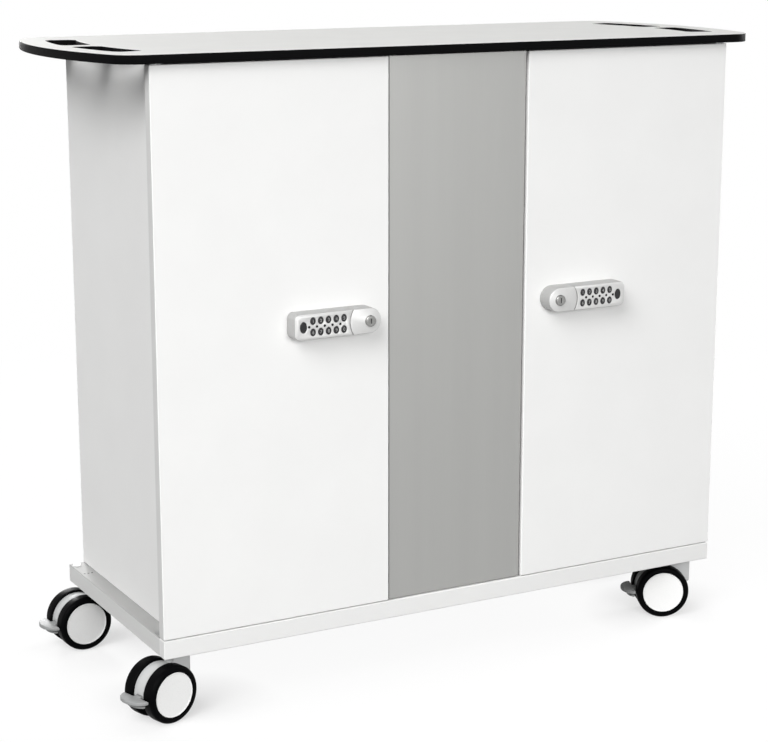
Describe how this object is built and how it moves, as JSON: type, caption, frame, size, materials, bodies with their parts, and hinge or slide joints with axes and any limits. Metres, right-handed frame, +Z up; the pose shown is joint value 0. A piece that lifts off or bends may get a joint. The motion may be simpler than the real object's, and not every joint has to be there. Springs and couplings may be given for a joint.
{
  "type": "mobile charging cabinet",
  "caption": "White two-door charging cabinet on swivel castors, with keypad locks, a metal centre fascia, device racks and a bowed laminate worktop with hand slots.",
  "frame": {"origin": "on the floor, under the middle of the whole object's bounding box", "axes": "+X to the right seen from the doors, +Y from the doors to the back, +Z up"},
  "size_m": [1.132, 0.461, 0.9615],
  "materials": {
    "white_board": "satin",
    "worktop_laminate": "satin",
    "fascia_metal": "satin",
    "lock_casing": "satin",
    "key_rubber": "matte",
    "steel": "satin",
    "castor_plastic": "satin",
    "castor_wheel": "satin",
    "rack_plastic": "matte",
    "socket_plastic": "satin"
  },
  "bodies": {
    "cabinet": {"base_board": "white_board", "left_side_panel": "white_board", "right_side_panel": "white_board", "back_panel": "white_board", "worktop": "worktop_laminate", "centre_fascia": "fascia_metal", "left_partition": "white_board", "left_lower_rack": "rack_plastic", "left_lower_pivot": "steel", "left_upper_rack": "rack_plastic", "left_upper_pivot": "steel", "right_partition": "white_board", "right_lower_rack": "rack_plastic", "right_lower_pivot": "steel", "right_upper_rack": "rack_plastic", "right_upper_pivot": "steel", "socket_strip": "socket_plastic", "mains_inlet": "socket_plastic", "castor_front_left_plate": "steel", "castor_back_left_plate": "steel", "castor_front_right_plate": "steel", "castor_back_right_plate": "steel"},
    "left_door": {"left_door": "white_board", "left_lock_body": "lock_casing"},
    "left_knob": {"left_lock_knob": "lock_casing"},
    "left_key_1": {"left_key_1": "key_rubber"},
    "left_key_2": {"left_key_2": "key_rubber"},
    "left_key_3": {"left_key_3": "key_rubber"},
    "left_key_4": {"left_key_4": "key_rubber"},
    "left_key_5": {"left_key_5": "key_rubber"},
    "left_key_6": {"left_key_6": "key_rubber"},
    "left_key_7": {"left_key_7": "key_rubber"},
    "left_key_8": {"left_key_8": "key_rubber"},
    "left_key_9": {"left_key_9": "key_rubber"},
    "left_key_0": {"left_key_0": "key_rubber"},
    "right_door": {"right_door": "white_board", "right_lock_body": "lock_casing"},
    "right_knob": {"right_lock_knob": "lock_casing"},
    "right_key_1": {"right_key_1": "key_rubber"},
    "right_key_2": {"right_key_2": "key_rubber"},
    "right_key_3": {"right_key_3": "key_rubber"},
    "right_key_4": {"right_key_4": "key_rubber"},
    "right_key_5": {"right_key_5": "key_rubber"},
    "right_key_6": {"right_key_6": "key_rubber"},
    "right_key_7": {"right_key_7": "key_rubber"},
    "right_key_8": {"right_key_8": "key_rubber"},
    "right_key_9": {"right_key_9": "key_rubber"},
    "right_key_0": {"right_key_0": "key_rubber"},
    "castor_front_left_swivel": {"castor_front_left_housing": "castor_plastic"},
    "castor_front_left_wheel_pair": {"castor_front_left_wheels": "castor_wheel"},
    "castor_front_left_pedal": {"castor_front_left_brake_pedal": "castor_plastic"},
    "castor_back_left_swivel": {"castor_back_left_housing": "castor_plastic"},
    "castor_back_left_wheel_pair": {"castor_back_left_wheels": "castor_wheel"},
    "castor_back_left_pedal": {"castor_back_left_brake_pedal": "castor_plastic"},
    "castor_front_right_swivel": {"castor_front_right_housing": "castor_plastic"},
    "castor_front_right_wheel_pair": {"castor_front_right_wheels": "castor_wheel"},
    "castor_front_right_pedal": {"castor_front_right_brake_pedal": "castor_plastic"},
    "castor_back_right_swivel": {"castor_back_right_housing": "castor_plastic"},
    "castor_back_right_wheel_pair": {"castor_back_right_wheels": "castor_wheel"},
    "castor_back_right_pedal": {"castor_back_right_brake_pedal": "castor_plastic"}
  },
  "joints": [
    {"name": "left_door_hinge", "type": "hinge", "parent": "cabinet", "child": "left_door", "pos_m": [-0.475, -0.1905, 0.5365], "axis": [0, 0, -1], "range_deg": [0, 260]},
    {"name": "left_knob_turn", "type": "hinge", "parent": "left_door", "child": "left_knob", "pos_m": [-0.1645, -0.1995, 0.5695], "axis": [0, 1, 0], "range_deg": [0, 90]},
    {"name": "left_key_1_press", "type": "slide", "parent": "left_door", "child": "left_key_1", "axis": [0, 1, 0], "range_m": [0, 0.0012], "stiffness_N_per_m": 400},
    {"name": "left_key_2_press", "type": "slide", "parent": "left_door", "child": "left_key_2", "axis": [0, 1, 0], "range_m": [0, 0.0012], "stiffness_N_per_m": 400},
    {"name": "left_key_3_press", "type": "slide", "parent": "left_door", "child": "left_key_3", "axis": [0, 1, 0], "range_m": [0, 0.0012], "stiffness_N_per_m": 400},
    {"name": "left_key_4_press", "type": "slide", "parent": "left_door", "child": "left_key_4", "axis": [0, 1, 0], "range_m": [0, 0.0012], "stiffness_N_per_m": 400},
    {"name": "left_key_5_press", "type": "slide", "parent": "left_door", "child": "left_key_5", "axis": [0, 1, 0], "range_m": [0, 0.0012], "stiffness_N_per_m": 400},
    {"name": "left_key_6_press", "type": "slide", "parent": "left_door", "child": "left_key_6", "axis": [0, 1, 0], "range_m": [0, 0.0012], "stiffness_N_per_m": 400},
    {"name": "left_key_7_press", "type": "slide", "parent": "left_door", "child": "left_key_7", "axis": [0, 1, 0], "range_m": [0, 0.0012], "stiffness_N_per_m": 400},
    {"name": "left_key_8_press", "type": "slide", "parent": "left_door", "child": "left_key_8", "axis": [0, 1, 0], "range_m": [0, 0.0012], "stiffness_N_per_m": 400},
    {"name": "left_key_9_press", "type": "slide", "parent": "left_door", "child": "left_key_9", "axis": [0, 1, 0], "range_m": [0, 0.0012], "stiffness_N_per_m": 400},
    {"name": "left_key_0_press", "type": "slide", "parent": "left_door", "child": "left_key_0", "axis": [0, 1, 0], "range_m": [0, 0.0012], "stiffness_N_per_m": 400},
    {"name": "right_door_hinge", "type": "hinge", "parent": "cabinet", "child": "right_door", "pos_m": [0.475, -0.1905, 0.5365], "axis": [0, 0, 1], "range_deg": [0, 260]},
    {"name": "right_knob_turn", "type": "hinge", "parent": "right_door", "child": "right_knob", "pos_m": [0.1645, -0.1995, 0.5695], "axis": [0, -1, 0], "range_deg": [0, 90]},
    {"name": "right_key_1_press", "type": "slide", "parent": "right_door", "child": "right_key_1", "axis": [0, 1, 0], "range_m": [0, 0.0012], "stiffness_N_per_m": 400},
    {"name": "right_key_2_press", "type": "slide", "parent": "right_door", "child": "right_key_2", "axis": [0, 1, 0], "range_m": [0, 0.0012], "stiffness_N_per_m": 400},
    {"name": "right_key_3_press", "type": "slide", "parent": "right_door", "child": "right_key_3", "axis": [0, 1, 0], "range_m": [0, 0.0012], "stiffness_N_per_m": 400},
    {"name": "right_key_4_press", "type": "slide", "parent": "right_door", "child": "right_key_4", "axis": [0, 1, 0], "range_m": [0, 0.0012], "stiffness_N_per_m": 400},
    {"name": "right_key_5_press", "type": "slide", "parent": "right_door", "child": "right_key_5", "axis": [0, 1, 0], "range_m": [0, 0.0012], "stiffness_N_per_m": 400},
    {"name": "right_key_6_press", "type": "slide", "parent": "right_door", "child": "right_key_6", "axis": [0, 1, 0], "range_m": [0, 0.0012], "stiffness_N_per_m": 400},
    {"name": "right_key_7_press", "type": "slide", "parent": "right_door", "child": "right_key_7", "axis": [0, 1, 0], "range_m": [0, 0.0012], "stiffness_N_per_m": 400},
    {"name": "right_key_8_press", "type": "slide", "parent": "right_door", "child": "right_key_8", "axis": [0, 1, 0], "range_m": [0, 0.0012], "stiffness_N_per_m": 400},
    {"name": "right_key_9_press", "type": "slide", "parent": "right_door", "child": "right_key_9", "axis": [0, 1, 0], "range_m": [0, 0.0012], "stiffness_N_per_m": 400},
    {"name": "right_key_0_press", "type": "slide", "parent": "right_door", "child": "right_key_0", "axis": [0, 1, 0], "range_m": [0, 0.0012], "stiffness_N_per_m": 400},
    {"name": "castor_front_left_swivel_turn", "type": "hinge", "parent": "cabinet", "child": "castor_front_left_swivel", "pos_m": [-0.454, -0.1665, 0.0932], "axis": [0, 0, 1], "continuous": true},
    {"name": "castor_front_left_roll", "type": "hinge", "parent": "castor_front_left_swivel", "child": "castor_front_left_wheel_pair", "pos_m": [-0.4846, -0.17586, 0.0435], "axis": [-0.2924, 0.9563, 0], "continuous": true},
    {"name": "castor_front_left_brake", "type": "hinge", "parent": "castor_front_left_swivel", "child": "castor_front_left_pedal", "pos_m": [-0.51138, -0.18404, 0.043], "axis": [0.2924, -0.9563, 0], "range_deg": [0, 12]},
    {"name": "castor_back_left_swivel_turn", "type": "hinge", "parent": "cabinet", "child": "castor_back_left_swivel", "pos_m": [-0.454, 0.1675, 0.0932], "axis": [0, 0, 1], "continuous": true},
    {"name": "castor_back_left_roll", "type": "hinge", "parent": "castor_back_left_swivel", "child": "castor_back_left_wheel_pair", "pos_m": [-0.48594, 0.16549, 0.0435], "axis": [-0.0628, 0.998, 0], "continuous": true},
    {"name": "castor_back_left_brake", "type": "hinge", "parent": "castor_back_left_swivel", "child": "castor_back_left_pedal", "pos_m": [-0.51388, 0.16373, 0.043], "axis": [0.0628, -0.998, 0], "range_deg": [0, 12]},
    {"name": "castor_front_right_swivel_turn", "type": "hinge", "parent": "cabinet", "child": "castor_front_right_swivel", "pos_m": [0.454, -0.1665, 0.0932], "axis": [0, 0, 1], "continuous": true},
    {"name": "castor_front_right_roll", "type": "hinge", "parent": "castor_front_right_swivel", "child": "castor_front_right_wheel_pair", "pos_m": [0.42486, -0.15328, 0.0435], "axis": [0.4131, 0.9107, 0], "continuous": true},
    {"name": "castor_front_right_brake", "type": "hinge", "parent": "castor_front_right_swivel", "child": "castor_front_right_pedal", "pos_m": [0.39936, -0.14171, 0.043], "axis": [-0.4131, -0.9107, 0], "range_deg": [0, 12]},
    {"name": "castor_back_right_swivel_turn", "type": "hinge", "parent": "cabinet", "child": "castor_back_right_swivel", "pos_m": [0.454, 0.1675, 0.0932], "axis": [0, 0, 1], "continuous": true},
    {"name": "castor_back_right_roll", "type": "hinge", "parent": "castor_back_right_swivel", "child": "castor_back_right_wheel_pair", "pos_m": [0.42249, 0.16194, 0.0435], "axis": [-0.1736, 0.9848, 0], "continuous": true},
    {"name": "castor_back_right_brake", "type": "hinge", "parent": "castor_back_right_swivel", "child": "castor_back_right_pedal", "pos_m": [0.39491, 0.15708, 0.043], "axis": [0.1736, -0.9848, 0], "range_deg": [0, 12]}
  ]
}
